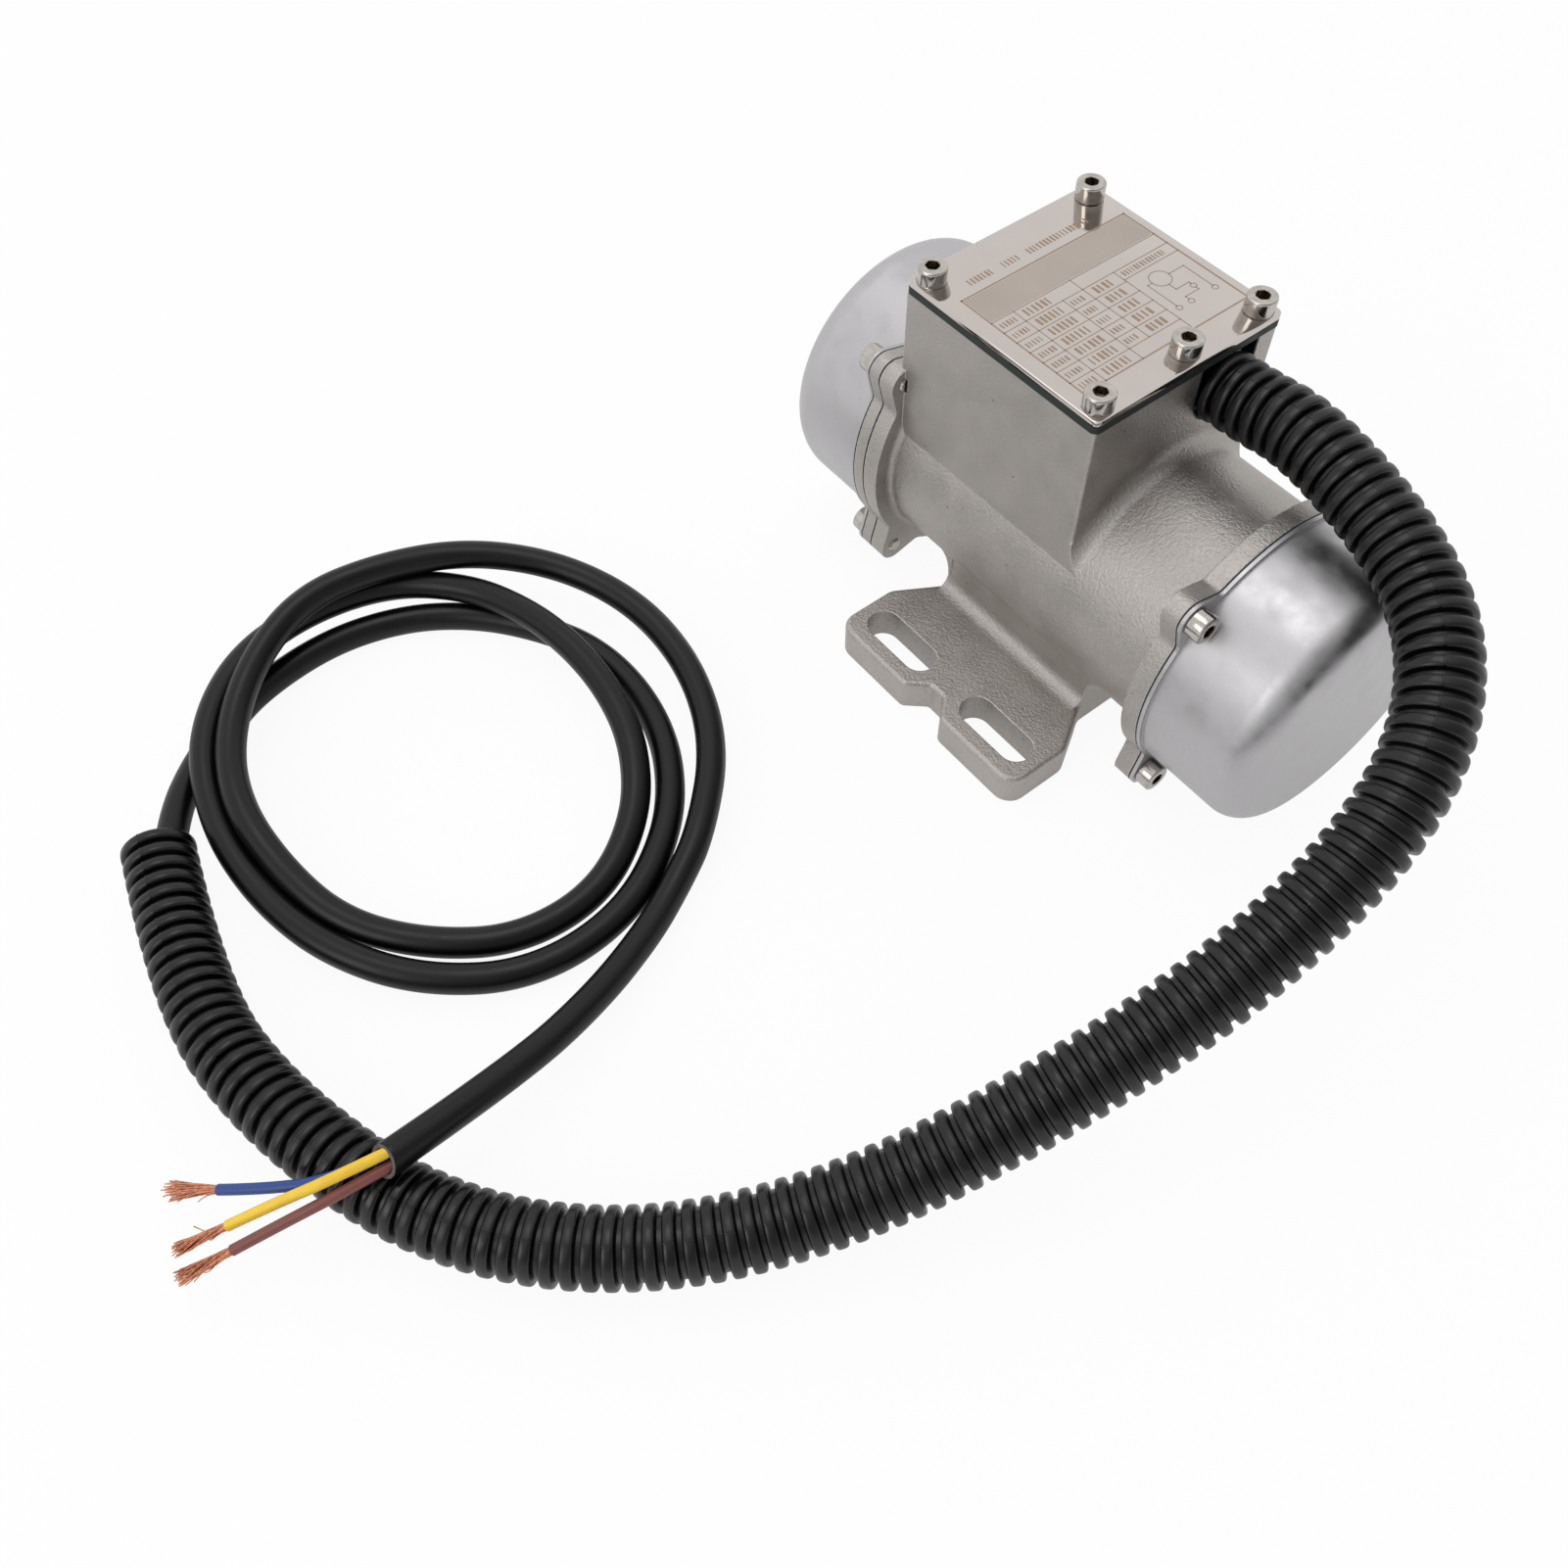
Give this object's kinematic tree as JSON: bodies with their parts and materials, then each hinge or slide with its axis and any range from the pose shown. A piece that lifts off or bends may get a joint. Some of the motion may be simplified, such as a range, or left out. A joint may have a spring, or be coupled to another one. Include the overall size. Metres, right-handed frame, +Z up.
{
  "type": "vibration motor",
  "caption": "Foot-mounted vibration motor with slotted feet, domed end caps over eccentric weights, a top terminal box, and a cable in corrugated conduit.",
  "frame": {"origin": "on the mounting plane under the feet, at the centre of the four foot slots", "axes": "+X along the shaft, towards the end that the conduit leaves to; +Z up, from the feet to the terminal box"},
  "size_m": [0.2532, 0.3236, 0.0993],
  "materials": {
    "cast_steel": "bead-blasted stainless casting",
    "drawn_steel": "satin deep-drawn stainless sheet",
    "polished_steel": "polished stainless plate",
    "fastener_steel": "bright turned stainless",
    "gasket_rubber": "matt black-green rubber sheet",
    "bright_steel": "ground steel",
    "weight_steel": "dark sawn steel",
    "laminations": "stacked electrical sheet",
    "copper_winding": "enamelled copper wire",
    "cage_aluminium": "cast aluminium",
    "block_plastic": "moulded white plastic",
    "capacitor_plastic": "black plastic case",
    "earth_brass": "plain brass",
    "conduit_plastic": "black corrugated plastic",
    "cable_rubber": "black rubber jacket",
    "core_blue_pvc": "blue insulation",
    "core_yellow_pvc": "yellow insulation",
    "core_brown_pvc": "brown insulation",
    "copper_strands": "bare stranded copper"
  },
  "bodies": {
    "motor_body": {"bearing_preload_washer": "bright_steel", "cable_coil": "cable_rubber", "cable_lead_in": "cable_rubber", "cable_tail": "cable_rubber", "conduit": "conduit_plastic", "conduit_seal": "gasket_rubber", "core_blue": "core_blue_pvc", "core_brown": "core_brown_pvc", "core_strands": "copper_strands", "core_yellow": "core_yellow_pvc", "earth_screw": "earth_brass", "end_shield_gasket": "gasket_rubber", "front_bearing_outer_ring": "bright_steel", "front_cap": "drawn_steel", "front_cap_gasket": "gasket_rubber", "front_cap_screws": "fastener_steel", "motor_housing": "cast_steel", "rear_bearing_outer_ring": "bright_steel", "rear_cap": "drawn_steel", "rear_cap_gasket": "gasket_rubber", "rear_cap_screws": "fastener_steel", "rear_end_shield": "cast_steel", "run_capacitor": "capacitor_plastic", "stator_core": "laminations", "stator_winding": "copper_winding", "terminal_block": "block_plastic", "terminal_cover": "polished_steel", "terminal_cover_gasket": "gasket_rubber", "terminal_cover_screws": "fastener_steel"},
    "rotor": {"shaft": "bright_steel", "rotor_core": "laminations", "rotor_cage": "cage_aluminium", "front_bearing_inner_ring": "bright_steel", "rear_bearing_inner_ring": "bright_steel", "front_spacer": "bright_steel", "rear_spacer": "bright_steel", "front_fixed_weight": "weight_steel", "rear_fixed_weight": "weight_steel", "front_weight_key": "bright_steel", "rear_weight_key": "bright_steel", "front_circlip": "bright_steel", "rear_circlip": "bright_steel"},
    "front_outer_weight": {"front_adjustable_weight": "weight_steel", "front_clamp_screw": "fastener_steel"},
    "rear_outer_weight": {"rear_adjustable_weight": "weight_steel", "rear_clamp_screw": "fastener_steel"}
  },
  "joints": [
    {"name": "rotor_spin", "type": "hinge", "parent": "motor_body", "child": "rotor", "pos_m": [0, 0, 0.038], "axis": [1, 0, 0], "continuous": true},
    {"name": "front_weight_adjust", "type": "hinge", "parent": "rotor", "child": "front_outer_weight", "pos_m": [0.0637, 0, 0.038], "axis": [1, 0, 0], "range_deg": [0, 180]},
    {"name": "rear_weight_adjust", "type": "hinge", "parent": "rotor", "child": "rear_outer_weight", "pos_m": [-0.0675, 0, 0.038], "axis": [1, 0, 0], "range_deg": [0, 180]}
  ]
}
